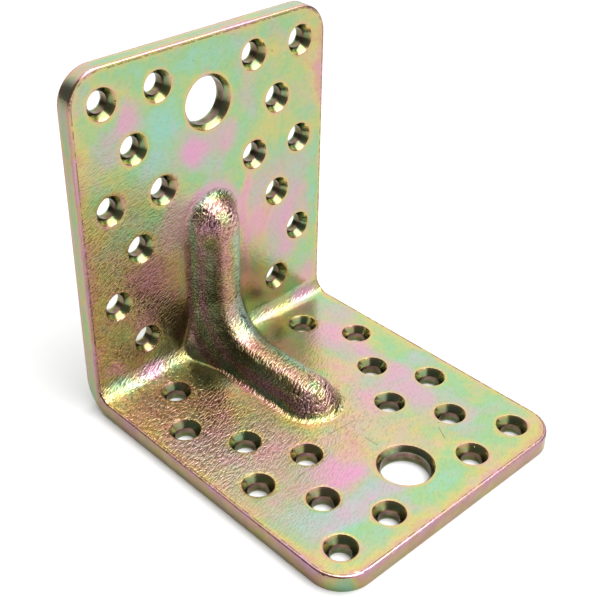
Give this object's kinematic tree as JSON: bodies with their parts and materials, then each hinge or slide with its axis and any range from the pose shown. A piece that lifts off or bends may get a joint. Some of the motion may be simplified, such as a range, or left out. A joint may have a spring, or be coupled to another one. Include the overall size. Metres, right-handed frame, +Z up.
{
  "type": "reinforced angle bracket",
  "caption": "Right-angle steel timber connector with a pressed stiffening rib across the bend and countersunk fixing holes in both legs.",
  "frame": {"origin": "middle of the base's bounding box, on the plane of the foot's outer face", "axes": "+X along the bend, +Y out of the wall leg's back face, +Z up, so the foot leg runs from the wall towards -Y"},
  "size_m": [0.09, 0.105, 0.105],
  "materials": {
    "yellow_zinc": "yellow iridescent zinc plating on sheet steel, soft gloss with a fine hammered grain"
  },
  "bodies": {
    "root": {"angle_bracket": "yellow_zinc"}
  },
  "joints": []
}
